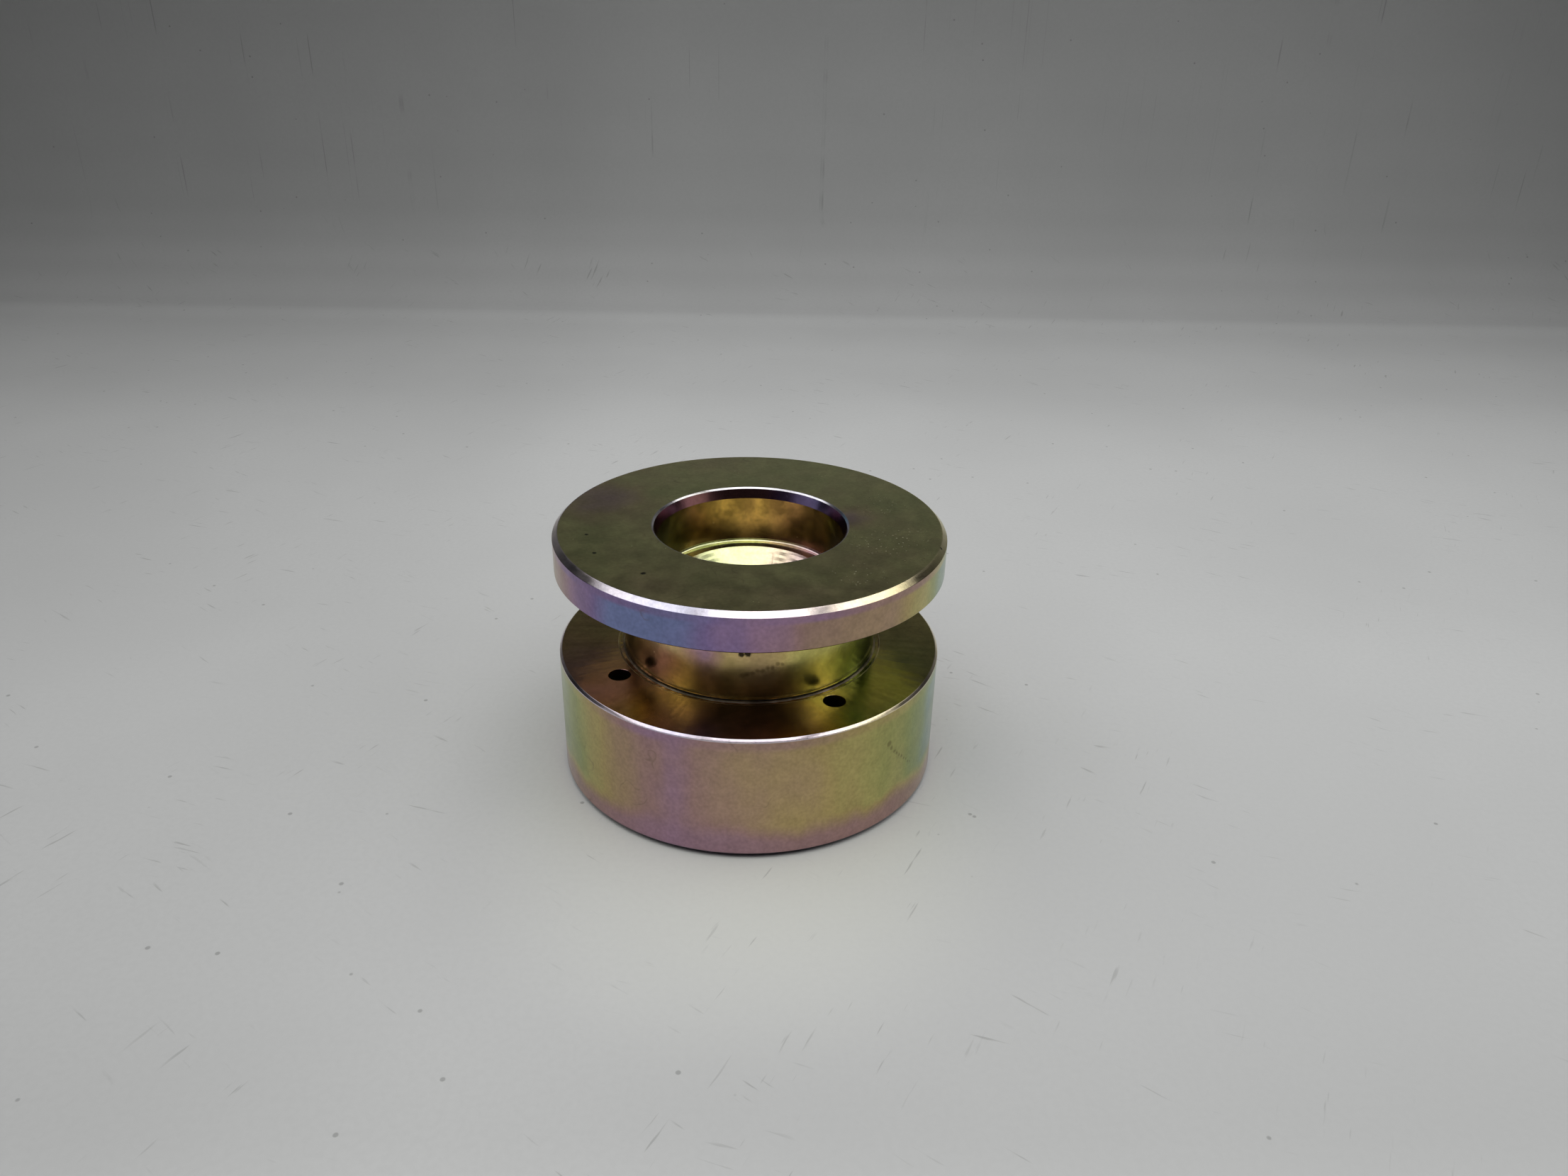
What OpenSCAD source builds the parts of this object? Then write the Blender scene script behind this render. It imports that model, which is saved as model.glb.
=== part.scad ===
// Disc steam trap with a collar flange, standing on its outlet housing.
// Millimetres, +Z up along the turning axis, origin on the axis at the base.
// Condensate enters the socket in the flange, passes the strainer and the
// seat's orifice, lifts the free disc, and leaves through the annular groove,
// the gallery and the axial holes in the housing's shoulder.

/* [Flange and inlet] */
// Overall height, from the base to the flange face
total_h = 53.5; // [48:0.1:66]
// Outside diameter of the flange
flange_d = 80; // [66:0.5:96]
// Thickness of the flange
flange_t = 8; // [6:0.1:10]
// 45 degree chamfer on the flange's top edge
flange_chamfer = 1; // [0.5:0.05:2]
// Break on the flange's lower edge
flange_break = 0.3; // [0.1:0.05:0.8]
// Diameter of the socket's parallel wall
socket_d = 38; // [30:0.1:46]
// Width of the tapered lead-in around the socket's mouth
lead_in_w = 1; // [0.5:0.05:2]
// Height of the tapered lead-in below the flange face
lead_in_h = 2.25; // [1:0.05:4]
// Break on the edge of the socket's mouth
mouth_break = 0.3; // [0.1:0.05:0.5]
// Depth from the flange face to the socket's ledge
socket_depth = 12.4; // [10:0.1:15]
// Fillet at the foot of the socket wall
socket_fillet = 0.6; // [0.2:0.1:1]
// Width of the flat ledge between the socket wall and the funnel
ledge_w = 3; // [2:0.1:5]
// Slope of the funnel below horizontal, in degrees
funnel_slope = 31; // [15:1:35]
// Diameter of the passage below the funnel
passage_d = 11; // [8:0.5:14]
// Solid web between the passage's head and the strainer pocket
web_t = 2.7; // [1.5:0.1:4]
// Fillet where the neck meets the flange
neck_fillet = 0.8; // [0.4:0.1:1.5]
// Break at the neck's foot
neck_foot_break = 0.35; // [0.1:0.05:0.8]

/* [Spigot and neck] */
// Wall of the spigot outside its screw holes' centres
spigot_wall = 3.2; // [3:0.1:5]
// Length of the spigot below the neck's shoulder
spigot_l = 7; // [6:0.1:9]
// Width of the neck's shoulder around the spigot
shoulder_w = 1.9; // [1.5:0.1:4]
// Wall between the strainer pocket and the screw holes' centres
pocket_wall = 8.3; // [5:0.1:9]
// Radial gap left in every screwed joint
thread_gap = 0.1; // [0.05:0.01:0.15]

/* [Outlet housing] */
// Wall of the housing around the gallery
housing_wall = 6; // [4:0.1:9]
// Thickness of the housing's shoulder
shoulder_t = 6; // [5:0.1:6.8]
// Chamfer on the housing's top edge
housing_chamfer = 0.45; // [0.2:0.05:1]
// Chamfer on the housing's bottom edge
base_chamfer = 1.2; // [0.5:0.1:1.6]
// Number of discharge holes in the shoulder
port_count = 4; // [3:1:6]
// Diameter of each discharge hole
port_d = 4.5; // [3:0.1:6]
// Land between the neck and each discharge hole
port_land = 2.2; // [1.5:0.1:4]
// Land between each discharge hole and the gallery's wall
gallery_land = 0.9; // [0.5:0.1:2]
// Angle of the first discharge hole from +X, in degrees
port_angle = 32.6; // [0:0.1:90]
// Width of the shallow relief ring around the neck's foot
relief_w = 1; // [0.4:0.1:1.4]
// Depth of the shallow relief ring
relief_depth = 0.25; // [0.1:0.05:0.5]

/* [Seat] */
// Diameter of the inlet orifice in the seat
orifice_d = 8; // [4:0.1:12]
// Width of the inner sealing land
inner_land_w = 2.6; // [1.5:0.1:4]
// Width of the annular outlet groove
groove_w = 4; // [3:0.1:6]
// Width of the outer sealing land
outer_land_w = 2.8; // [1.5:0.1:4]
// Width of the boss outside the disc's edge
boss_land = 2.1; // [1.6:0.1:3]
// Height of the boss below the plate
boss_h = 2.5; // [2:0.1:3]
// Thickness of the seat plate
seat_plate_t = 6.5; // [6:0.1:8]
// Rim of the seat plate outside the spigot
seat_rim_w = 2; // [1:0.1:3]
// Diameter of each radial drilling from the groove
drilling_d = 3.2; // [2:0.1:3.4]

/* [Disc and control cap] */
// Thickness of the valve disc
disc_t = 3; // [2.5:0.1:4]
// Lift of the disc from its stop to the seat
disc_lift = 1; // [0.6:0.05:1.2]
// Radial gap between the disc and the control chamber
chamber_gap = 1.2; // [1:0.05:1.5]
// Wall of the control cap outside its thread
cap_wall = 1.9; // [1.5:0.1:3]
// Thickness of the control cap's floor
cap_floor = 2; // [1.5:0.1:3]
// Height of the disc's stop ring above the cap's floor
stop_h = 0.5; // [0.3:0.05:0.8]
// Radial gap between the disc and the bimetal vent ring
vent_ring_gap = 0.3; // [0.2:0.05:0.4]
// Radial thickness of the bimetal vent ring
vent_ring_w = 0.8; // [0.4:0.05:0.85]
// Height of the bimetal vent ring
vent_ring_h = 0.9; // [0.6:0.05:1]

/* [Strainer] */
// Radial gap between the strainer cup and its pocket
screen_gap = 2.5; // [1.5:0.1:4]
// Wall of the strainer cup
screen_wall = 0.6; // [0.4:0.05:0.8]
// Number of holes around the strainer in each row
screen_holes = 12; // [8:1:16]
// Diameter of each strainer hole
screen_hole_d = 1.8; // [1.2:0.1:2]

/* [Fasteners and seals] */
// Number of seat screws
screw_count = 4; // [4:1:4]
// Thread diameter of the seat screws, as a plain cylinder
screw_d = 4; // [3:0.5:4]
// Length of the seat screws under the head
screw_l = 13; // [11:0.5:14]
// Head diameter of the seat screws
head_d = 7; // [5.5:0.1:8.5]
// Head height of the seat screws
head_h = 4; // [3:0.1:4]
// Gap between the screw heads and the control cap
head_gap = 0.4; // [0.2:0.1:1]
// Thickness of the seat screws' washers
washer_t = 0.8; // [0.5:0.05:1]
// Diameter of the two locating dowels
dowel_d = 3; // [2.5:0.1:3]
// Diameter of the two pins that lock the housing to the spigot
lock_pin_d = 3; // [2:0.1:3]
// Length of the two lock pins
lock_pin_l = 4; // [3:0.1:4.5]
// Thickness of the shoulder gasket
shoulder_gasket_t = 0.8; // [0.6:0.1:1]
// Thickness of the seat gasket
seat_gasket_t = 0.7; // [0.5:0.05:0.9]
// Thickness of the control cap's gasket
cap_gasket_t = 0.6; // [0.4:0.05:0.8]

/* [Bottom cover] */
// Width of the ledge that carries the cover and its gasket
cover_ledge_w = 2; // [1.5:0.1:3]
// Thickness of the bottom cover
cover_t = 2.1; // [1.8:0.1:3]
// Thickness of the bottom cover's gasket
cover_gasket_t = 0.6; // [0.4:0.05:0.8]
// Gap between the bottom cover and the control cap
cover_gap = 1.2; // [0.8:0.1:3]
// Thickness of the snap ring
snap_t = 1; // [0.8:0.05:1.2]
// Height of the snap ring above the base
snap_z = 0.4; // [0.3:0.05:0.8]

/* [Hidden] */
$fn = 96;
eps = 0.01;

// Radii, from the orifice outwards.
orifice_r = orifice_d / 2;
groove_in_r = orifice_r + inner_land_w;
groove_out_r = groove_in_r + groove_w;
disc_r = groove_out_r + outer_land_w;
chamber_r = disc_r + chamber_gap;
boss_r = disc_r + boss_land;
cap_r = boss_r + cap_wall;
head_r = head_d / 2;
screw_pc_r = cap_r + head_gap + head_r;
spigot_r = screw_pc_r + spigot_wall;
seat_plate_r = spigot_r + seat_rim_w;
neck_r = spigot_r + shoulder_w;
port_pc_r = neck_r + port_land + port_d / 2;
gallery_r = port_pc_r + port_d / 2 + gallery_land;
housing_r = gallery_r + housing_wall;
cover_r = gallery_r + cover_ledge_w;
pocket_r = screw_pc_r - pocket_wall;
screen_r = pocket_r - screen_gap;
flange_r = flange_d / 2;
socket_r = socket_d / 2;
mouth_r = socket_r + lead_in_w;
funnel_r = socket_r - ledge_w;
passage_r = passage_d / 2;

// Heights, from the base upwards.
cover_z = snap_z + snap_t;
cover_top_z = cover_z + cover_t;
cover_ledge_z = cover_top_z + cover_gasket_t;
cap_z = cover_top_z + cover_gap;
cap_inside_z = cap_z + cap_floor;
disc_z = cap_inside_z + stop_h;
seat_z = disc_z + disc_t + disc_lift;
plate_z = seat_z + boss_h;
spigot_z = plate_z + seat_plate_t;
housing_h = spigot_z + spigot_l;
cap_top_z = plate_z - cap_gasket_t;
head_z = plate_z - washer_t - head_h;
shoulder_z = housing_h - shoulder_t;
flange_z = total_h - flange_t;
ledge_z = total_h - socket_depth;
funnel_z = ledge_z - (funnel_r - passage_r) * tan(funnel_slope);
pocket_z = funnel_z - web_t;

// Strainer: its seat in the plate, its headroom and its perforation.
recess_h = 1.2;
recess_z = spigot_z - recess_h;
recess_r = pocket_r + 1.6;
rim_r = recess_r - 0.15;
rim_t = 0.8;
screen_h = pocket_z - recess_z - 2.6;
row_pitch = 2.2;
screen_rows = floor((screen_h - row_pitch) / row_pitch + eps);

// Gasket recess, outlet groove and drillings in the seat plate.
gasket_in_r = recess_r + 0.9;
gasket_w = 2.1;
groove_depth = 5.6;
press_gap = 0.01;
drilling_z = seat_z + groove_depth - 0.2;
screw_a = port_angle + 45;
dowel_a = port_angle + 22.5;

// Lock pins, between the seat screws and the next discharge holes, half in each
// threaded part.
lock_pin_a = port_angle + 67.5;
lock_pin_pc_r = spigot_r + thread_gap / 2;
lock_pin_gap = 0.03;

// Disc grooves and the cap's stop ring.
disc_groove_w = 2;
disc_groove_depth = 0.4;
stop_in_r = orifice_r + 1;
stop_out_r = stop_in_r + 3;

// Snap ring section and lugs.
snap_w = 2.6;
lug_r = 2.6;
lug_a = 6.5;

// One turned ring: inner radius, outer radius, bottom and top heights.
module ring(ri, ro, z0, z1) {
  translate([0, 0, z0]) rotate_extrude()
    translate([ri, 0]) square([ro - ri, z1 - z0]);
}

// Copies its children around the axis on a pitch circle.
module around(count, radius, first) {
  for (i = [0 : count - 1])
    rotate([0, 0, first + i * 360 / count]) translate([radius, 0, 0]) children();
}

// A hole or pin along Z.
module rod(r, z0, z1) {
  translate([0, 0, z0]) cylinder(r = r, h = z1 - z0);
}

// Flange, neck and threaded spigot, turned from one bar.
module inlet_spool() {
  color([0.66, 0.6, 0.38]) difference() {
    rotate_extrude() difference() {
      union() {
        // Flange with its top chamfer and lower break.
        polygon([
          [0, flange_z], [flange_r - flange_break, flange_z],
          [flange_r, flange_z + flange_break],
          [flange_r, total_h - flange_chamfer],
          [flange_r - flange_chamfer, total_h], [0, total_h]]);
        // Neck, down to its shoulder on the housing.
        polygon([
          [0, housing_h], [neck_r - neck_foot_break, housing_h],
          [neck_r, housing_h + neck_foot_break], [neck_r, flange_z + eps],
          [0, flange_z + eps]]);
        // Fillet under the flange.
        difference() {
          translate([neck_r - eps, flange_z - neck_fillet])
            square([neck_fillet + eps, neck_fillet + eps]);
          translate([neck_r + neck_fillet, flange_z - neck_fillet])
            circle(r = neck_fillet, $fn = 64);
        }
        // Spigot that screws into the housing.
        polygon([
          [0, spigot_z], [spigot_r - 0.5, spigot_z],
          [spigot_r, spigot_z + 0.5], [spigot_r, housing_h + eps],
          [0, housing_h + eps]]);
      }
      // Socket: lead-in, wall, fillet and ledge.
      difference() {
        polygon([
          [0, ledge_z], [socket_r, ledge_z],
          [socket_r, total_h - lead_in_h],
          [mouth_r - mouth_break, total_h - mouth_break], [mouth_r, total_h],
          [mouth_r, total_h + 1], [0, total_h + 1]]);
        difference() {
          translate([socket_r - socket_fillet, ledge_z - eps])
            square([socket_fillet + eps, socket_fillet + eps]);
          translate([socket_r - socket_fillet, ledge_z + socket_fillet])
            circle(r = socket_fillet, $fn = 64);
        }
      }
      // Funnel and passage, then the strainer pocket from below.
      polygon([
        [0, pocket_z - 1], [passage_r, pocket_z - 1], [passage_r, funnel_z],
        [funnel_r, ledge_z], [funnel_r, ledge_z + eps], [0, ledge_z + eps]]);
      translate([0, spigot_z - 1]) square([pocket_r, pocket_z - spigot_z + 1]);
    }
    // Tapped holes for the seat screws and reamed holes for the dowels.
    around(screw_count, screw_pc_r, screw_a)
      rod(screw_d / 2 + 0.05, spigot_z - 1, plate_z - washer_t + screw_l + 1);
    around(2, screw_pc_r, dowel_a)
      rod(dowel_d / 2, spigot_z - 1, spigot_z + 6);
    lock_pin_holes();
  }
}

// Cup-shaped housing with the discharge holes in its shoulder.
module outlet_housing() {
  color([0.66, 0.58, 0.4]) difference() {
    rotate_extrude() difference() {
      polygon([
        [0, 0], [housing_r - base_chamfer, 0], [housing_r, base_chamfer],
        [housing_r, housing_h - housing_chamfer],
        [housing_r - housing_chamfer, housing_h], [0, housing_h]]);
      // Threaded centre hole and the gasket's counterbore.
      translate([0, shoulder_z - 1])
        square([spigot_r + thread_gap, shoulder_t + 2]);
      translate([0, housing_h - shoulder_gasket_t])
        square([neck_r - 0.15, shoulder_gasket_t + 1]);
      // Relief ring around the neck's foot.
      translate([neck_r + 0.2, housing_h - relief_depth])
        square([relief_w, relief_depth + 1]);
      // Gallery, cover pocket and snap ring groove.
      translate([0, cover_ledge_z]) square([gallery_r, shoulder_z - cover_ledge_z]);
      translate([0, -1]) square([cover_r, cover_ledge_z + 1]);
      translate([0, snap_z - 0.05]) square([cover_r + 1, snap_t + 0.1]);
    }
    around(port_count, port_pc_r, port_angle)
      rod(port_d / 2, shoulder_z - 1, housing_h + 1);
    lock_pin_holes();
  }
}

// Holes drilled down the thread's joint line for the lock pins.
module lock_pin_holes() {
  around(2, lock_pin_pc_r, lock_pin_a)
    rod(lock_pin_d / 2 + lock_pin_gap, spigot_z - 1, shoulder_z + lock_pin_l + 0.2);
}

// Pins that keep the housing from unscrewing.
module housing_lock_pins() {
  color([0.6, 0.61, 0.63]) around(2, lock_pin_pc_r, lock_pin_a)
    rod(lock_pin_d / 2, shoulder_z, shoulder_z + lock_pin_l);
}

// Flat ring that seals the neck's shoulder to the housing.
module shoulder_gasket() {
  color([0.2, 0.2, 0.21])
    ring(spigot_r + thread_gap, neck_r - 0.25, housing_h - shoulder_gasket_t,
      housing_h);
}

// Perforated tube over the seat's orifice, with a rim at its foot.
module strainer_screen() {
  color([0.72, 0.73, 0.75]) translate([0, 0, recess_z]) difference() {
    rotate_extrude() difference() {
      union() {
        square([screen_r, screen_h]);
        square([rim_r, rim_t]);
      }
      translate([0, -1]) square([screen_r - screen_wall, screen_h + 2]);
    }
    for (row = [0 : screen_rows - 1])
      translate([0, 0, (row + 1) * row_pitch + 0.2])
        around(screen_holes, 0, row % 2 * 180 / screen_holes)
          rotate([0, 90, 0]) cylinder(r = screen_hole_d / 2, h = screen_r + 2);
  }
}

// Pressed cap that closes the strainer tube, with a flange turned over its edge.
module strainer_end_cap() {
  skirt_r = screen_r - screen_wall - 0.05;
  color([0.68, 0.69, 0.71]) translate([0, 0, recess_z + screen_h])
    rotate_extrude() union() {
      square([screen_r, screen_wall]);
      translate([skirt_r - screen_wall, -1]) square([screen_wall, 1 + eps]);
    }
}

// Flat ring that holds the strainer's rim down in the seat plate.
module strainer_clamp_ring() {
  color([0.7, 0.71, 0.73]) ring(pocket_r - 0.4, rim_r, recess_z + rim_t, spigot_z);
}

// Seat plate: boss with the outer sealing land, annular groove and drillings.
module seat_plate() {
  color([0.74, 0.74, 0.72]) difference() {
    rotate_extrude() difference() {
      polygon([
        [groove_in_r, seat_z], [boss_r - 0.3, seat_z], [boss_r, seat_z + 0.3],
        [boss_r, plate_z], [seat_plate_r - 0.4, plate_z],
        [seat_plate_r, plate_z + 0.4], [seat_plate_r, spigot_z],
        [groove_in_r, spigot_z]]);
      translate([0, seat_z - 1]) square([groove_out_r, groove_depth + 1]);
      translate([0, recess_z]) square([recess_r, recess_h + 1]);
      translate([gasket_in_r, spigot_z - seat_gasket_t])
        square([gasket_w, seat_gasket_t + 1]);
    }
    translate([0, 0, drilling_z]) around(port_count, groove_out_r - 1.5, port_angle)
      rotate([0, 90, 0]) cylinder(r = drilling_d / 2, h = seat_plate_r);
    around(screw_count, screw_pc_r, screw_a)
      rod(screw_d / 2 + 0.2, plate_z - 1, spigot_z + 1);
    around(2, screw_pc_r, dowel_a)
      rod(dowel_d / 2, plate_z + 1.5, spigot_z + 1);
  }
}

// Hardened bush pressed into the plate: the orifice and the inner sealing land.
module orifice_bush() {
  color([0.8, 0.8, 0.78]) rotate_extrude() polygon([
    [orifice_r, seat_z], [groove_in_r - press_gap, seat_z],
    [groove_in_r - press_gap, recess_z], [orifice_r + 0.8, recess_z],
    [orifice_r, recess_z - 0.8]]);
}

// Ring that seals the seat plate to the spigot around the strainer pocket.
module seat_gasket() {
  color([0.2, 0.2, 0.21])
    ring(gasket_in_r, gasket_in_r + gasket_w, spigot_z - seat_gasket_t, spigot_z);
}

// Socket head screws that hold the seat plate to the spigot.
module seat_screws() {
  color([0.35, 0.36, 0.38]) around(screw_count, screw_pc_r, screw_a)
    difference() {
      union() {
        rod(head_r, head_z, head_z + head_h);
        rod(screw_d / 2, head_z + head_h - eps, head_z + head_h + screw_l);
      }
      translate([0, 0, head_z - 1])
        cylinder(r = screw_d * 0.75 / sqrt(3), h = 1 + head_h / 2, $fn = 6);
    }
}

// Washers under the screw heads.
module seat_screw_washers() {
  color([0.62, 0.63, 0.65]) around(screw_count, screw_pc_r, screw_a)
    ring(screw_d / 2 + 0.2, head_r, plate_z - washer_t, plate_z);
}

// Dowels that set the seat plate square to the spool.
module seat_dowels() {
  color([0.6, 0.61, 0.63]) around(2, screw_pc_r, dowel_a)
    rod(dowel_d / 2 - 0.02, plate_z + 1.6, spigot_z + 5.5);
}

// Free disc, resting on the cap's stop ring and grooved on both faces.
module valve_disc() {
  color([0.78, 0.78, 0.76]) rotate_extrude() difference() {
    polygon([
      [0, disc_z], [disc_r - 0.3, disc_z], [disc_r, disc_z + 0.3],
      [disc_r, disc_z + disc_t - 0.3], [disc_r - 0.3, disc_z + disc_t],
      [0, disc_z + disc_t]]);
    for (z = [disc_z - 1, disc_z + disc_t - disc_groove_depth])
      translate([groove_in_r + 0.6, z])
        square([disc_groove_w, disc_groove_depth + (z < disc_z ? 1 - eps : 1)]);
  }
}

// Split bimetal ring that holds the disc off its seat while the trap is cold.
module bimetal_vent_ring() {
  color([0.7, 0.55, 0.3]) difference() {
    ring(disc_r + vent_ring_gap, disc_r + vent_ring_gap + vent_ring_w,
      seat_z - vent_ring_h, seat_z);
    translate([disc_r - 1, -1, seat_z - vent_ring_h - 1]) cube([4, 2, vent_ring_h + 2]);
  }
}

// Cap that screws onto the boss and forms the control chamber.
module control_cap() {
  color([0.6, 0.6, 0.62]) difference() {
    rotate_extrude() difference() {
      polygon([
        [0, cap_z], [cap_r - 1, cap_z], [cap_r, cap_z + 1], [cap_r, cap_top_z],
        [0, cap_top_z]]);
      translate([0, cap_inside_z]) square([stop_in_r, cap_top_z]);
      translate([0, disc_z]) square([chamber_r, cap_top_z]);
      translate([stop_out_r, cap_inside_z])
        square([chamber_r - stop_out_r, cap_top_z]);
      translate([0, seat_z]) square([boss_r + thread_gap, cap_top_z]);
    }
    // Driving slot across the cap's outer face.
    translate([-1.5, -cap_r - 1, cap_z - 1]) cube([3, 2 * cap_r + 2, 1.8]);
  }
}

// Ring that seals the cap to the seat plate.
module cap_gasket() {
  color([0.2, 0.2, 0.21]) ring(boss_r + thread_gap, cap_r - 0.05, cap_top_z, plate_z);
}

// Plate that closes the housing's gallery.
module bottom_cover() {
  color([0.62, 0.56, 0.4]) rotate_extrude() polygon([
    [0, cover_z], [cover_r - 0.5, cover_z], [cover_r - 0.1, cover_z + 0.4],
    [cover_r - 0.1, cover_top_z], [0, cover_top_z]]);
}

// Ring that seals the bottom cover against the housing's ledge.
module cover_gasket() {
  color([0.2, 0.2, 0.21])
    ring(gallery_r + 0.1, cover_r - 0.1, cover_top_z, cover_ledge_z);
}

// Internal snap ring with two lugs, sprung into the housing's groove.
module cover_snap_ring() {
  color([0.3, 0.31, 0.33]) difference() {
    union() {
      ring(cover_r - snap_w, cover_r + 0.85, snap_z, snap_z + snap_t);
      for (side = [-1, 1])
        rotate([0, 0, side * lug_a]) translate([cover_r - snap_w - 0.6, 0, 0])
          rod(lug_r, snap_z, snap_z + snap_t);
    }
    for (side = [-1, 1])
      rotate([0, 0, side * lug_a]) translate([cover_r - snap_w - 0.6, 0, 0])
        rod(1.1, snap_z - 1, snap_z + snap_t + 1);
    translate([gallery_r - 6, -1.2, snap_z - 1]) cube([12, 2.4, snap_t + 2]);
  }
}

inlet_spool();
outlet_housing();
housing_lock_pins();
shoulder_gasket();
strainer_screen();
strainer_end_cap();
strainer_clamp_ring();
seat_plate();
orifice_bush();
seat_gasket();
seat_screws();
seat_screw_washers();
seat_dowels();
valve_disc();
bimetal_vent_ring();
control_cap();
cap_gasket();
bottom_cover();
cover_gasket();
cover_snap_ring();
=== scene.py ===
import logging
import math
from dataclasses import dataclass, field
from enum import Enum
from typing import Sequence

import bmesh
import bpy
from mathutils import Matrix, Vector, noise


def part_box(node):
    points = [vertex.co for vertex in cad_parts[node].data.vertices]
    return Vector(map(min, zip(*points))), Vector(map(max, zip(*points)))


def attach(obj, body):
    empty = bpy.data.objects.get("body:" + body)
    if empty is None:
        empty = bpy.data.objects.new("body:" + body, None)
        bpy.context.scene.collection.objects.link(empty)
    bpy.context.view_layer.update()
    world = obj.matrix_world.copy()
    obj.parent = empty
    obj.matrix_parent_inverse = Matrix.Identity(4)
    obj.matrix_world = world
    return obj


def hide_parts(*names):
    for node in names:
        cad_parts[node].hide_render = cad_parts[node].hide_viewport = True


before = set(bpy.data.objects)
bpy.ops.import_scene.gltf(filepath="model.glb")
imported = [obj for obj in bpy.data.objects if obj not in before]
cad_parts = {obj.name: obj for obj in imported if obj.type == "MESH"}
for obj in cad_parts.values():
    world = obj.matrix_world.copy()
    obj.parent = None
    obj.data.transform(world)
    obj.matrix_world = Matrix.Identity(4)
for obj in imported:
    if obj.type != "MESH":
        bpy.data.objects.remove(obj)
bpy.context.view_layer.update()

MM = 0.001
ON_AXIS = 1e-6
RIPPLE_SHEAR = 0.07
LOG = logging.getLogger("steam_trap")
Colour = tuple[float, float, float]
Stops = tuple[tuple[float, float], ...]


# --------------------------------------------------------------------------
# Turned shapes
# --------------------------------------------------------------------------


@dataclass(frozen=True)
class Corner:
    """One corner of a turned outline, in millimetres.

    Args:
        radius: distance from the turning axis.
        height: height above the base.
        round: radius of the arc that replaces the corner, or 0 for a sharp one.
        steps: number of straight pieces in that arc.
    """

    radius: float
    height: float
    round: float = 0.0
    steps: int = 5


def rounded_outline(corners: Sequence[Corner], closed: bool) -> list[Vector]:
    """Turns corners into outline points, with arcs at the rounded ones.

    Args:
        corners: the outline's corners in order.
        closed: whether the last corner joins the first.

    Returns:
        Points whose x is the radius and y the height, in millimetres.
    """
    points: list[Vector] = []
    count = len(corners)
    for index, corner in enumerate(corners):
        here = Vector((corner.radius, corner.height))
        at_end = not closed and index in (0, count - 1)
        if corner.round <= 0 or at_end:
            points.append(here)
            continue
        before = corners[index - 1]
        after = corners[(index + 1) % count]
        to_before = (Vector((before.radius, before.height)) - here).normalized()
        to_after = (Vector((after.radius, after.height)) - here).normalized()
        half = to_before.angle(to_after) / 2
        reach = corner.round / math.tan(half)
        centre = here + (to_before + to_after).normalized() * corner.round / math.sin(half)
        first = here + to_before * reach - centre
        last = here + to_after * reach - centre
        turn_angle = first.angle_signed(last)
        for step in range(corner.steps + 1):
            angle = -turn_angle * step / corner.steps
            cos_a, sin_a = math.cos(angle), math.sin(angle)
            points.append(
                centre + Vector((first.x * cos_a - first.y * sin_a, first.x * sin_a + first.y * cos_a))
            )
    return points


@dataclass(frozen=True)
class Ripple:
    """A small unevenness left by the tool on part of a turned outline.

    Args:
        low: lower edge of the radius range that it covers, in millimetres.
        high: upper edge of that range.
        floor: lowest height that it covers.
        ceiling: highest height that it covers.
        depth: how far the surface moves, in millimetres.
        waves: number of waves around the axis.
    """

    low: float
    high: float
    floor: float
    ceiling: float
    depth: float
    waves: float

    def offset(self, radius: float, height: float, angle: float) -> float:
        """Height offset at one point of the surface.

        Args:
            radius: the point's radius, in millimetres.
            height: the point's height, in millimetres.
            angle: the point's angle around the axis, in radians.

        Returns:
            The offset, in millimetres.
        """
        if not (self.low <= radius <= self.high and self.floor <= height <= self.ceiling):
            return 0.0
        place = Vector((math.cos(angle), math.sin(angle), RIPPLE_SHEAR * radius)) * self.waves
        return self.depth * noise.noise(place)


def turned_mesh(
    name: str, outline: Sequence[Vector], closed: bool, sides: int, ripples: Sequence[Ripple] = ()
) -> bpy.types.Object:
    """Revolves an outline around the Z axis.

    Args:
        name: name of the new object.
        outline: points of radius and height, in millimetres.
        closed: whether the outline's last point joins its first.
        sides: number of steps around the axis.
        ripples: unevenness to add.

    Returns:
        The new object, in metres, linked to the scene.
    """
    mesh = bpy.data.meshes.new(name)
    shape = bmesh.new()
    rings: list[list[bmesh.types.BMVert]] = []
    for point in outline:
        if point.x < ON_AXIS:
            rings.append([shape.verts.new((0, 0, point.y * MM))])
            continue
        ring = []
        for side in range(sides):
            angle = 2 * math.pi * side / sides
            height = point.y + sum(r.offset(point.x, point.y, angle) for r in ripples)
            place = (point.x * math.cos(angle) * MM, point.x * math.sin(angle) * MM, height * MM)
            ring.append(shape.verts.new(place))
        rings.append(ring)
    pairs = list(zip(rings, rings[1:]))
    if closed:
        pairs.append((rings[-1], rings[0]))
    for lower, upper in pairs:
        for side in range(sides):
            after = (side + 1) % sides
            loop = [lower[side % len(lower)], lower[after % len(lower)]]
            loop += [upper[after % len(upper)], upper[side % len(upper)]]
            unique = list(dict.fromkeys(loop))
            if len(unique) > 2:
                shape.faces.new(unique)
    bmesh.ops.recalc_face_normals(shape, faces=shape.faces)
    shape.to_mesh(mesh)
    shape.free()
    piece = bpy.data.objects.new(name, mesh)
    bpy.context.scene.collection.objects.link(piece)
    smooth_with_sharp_edges(mesh)
    return piece


def smooth_with_sharp_edges(mesh: bpy.types.Mesh, limit: float = 24.0) -> None:
    """Shades a mesh smooth, with edges sharper than a limit kept sharp.

    Args:
        mesh: the mesh to shade.
        limit: the angle between faces above which an edge stays sharp, in degrees.
    """
    mesh.polygons.foreach_set("use_smooth", [True] * len(mesh.polygons))
    mesh.set_sharp_from_angle(angle=math.radians(limit))


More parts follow.
